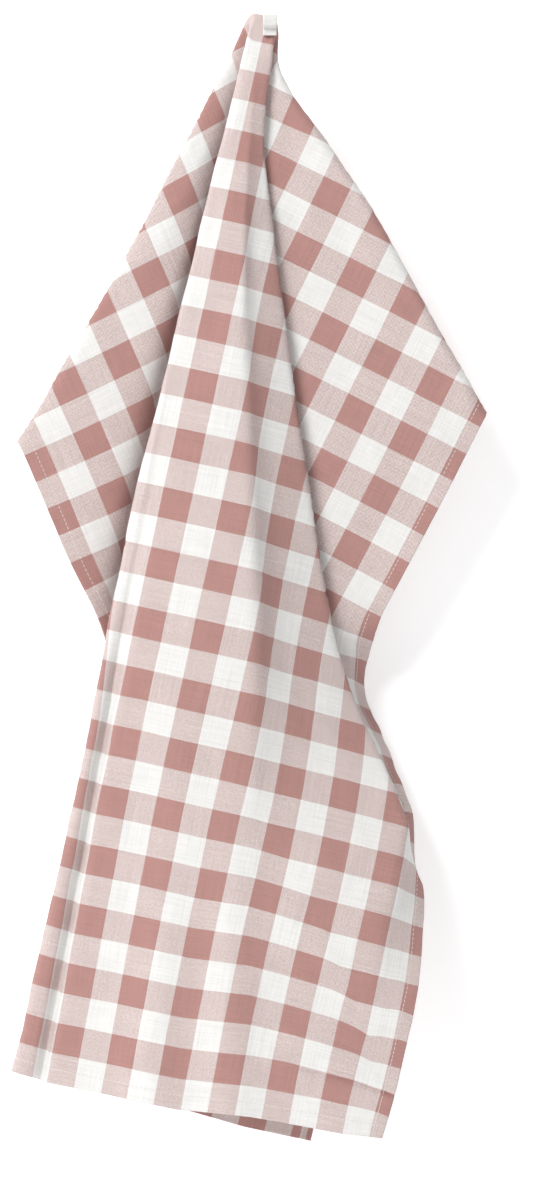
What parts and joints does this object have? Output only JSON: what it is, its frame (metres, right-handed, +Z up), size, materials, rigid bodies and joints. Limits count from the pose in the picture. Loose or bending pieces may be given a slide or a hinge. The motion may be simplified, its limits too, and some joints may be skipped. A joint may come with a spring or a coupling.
{
  "type": "tea towel",
  "caption": "Gingham cotton tea towel hanging from one point on its top hem, the cloth falling in long folds, with a short tape loop at the hem.",
  "frame": {"origin": "the hanging point, on the top hem of the cloth", "axes": "+Z up, towards the hook that would hold it; -Y towards the viewer, the front of the towel; +X to the viewer's right"},
  "size_m": [0.3055, 0.0933, 0.7267],
  "materials": {
    "gingham_cotton": "plain-woven cotton gingham in white and dusty rose, matt",
    "cotton_tape": "white woven cotton tape, matt"
  },
  "bodies": {
    "root": {"towel_cloth": "gingham_cotton", "hanging_loop": "cotton_tape"}
  },
  "joints": []
}
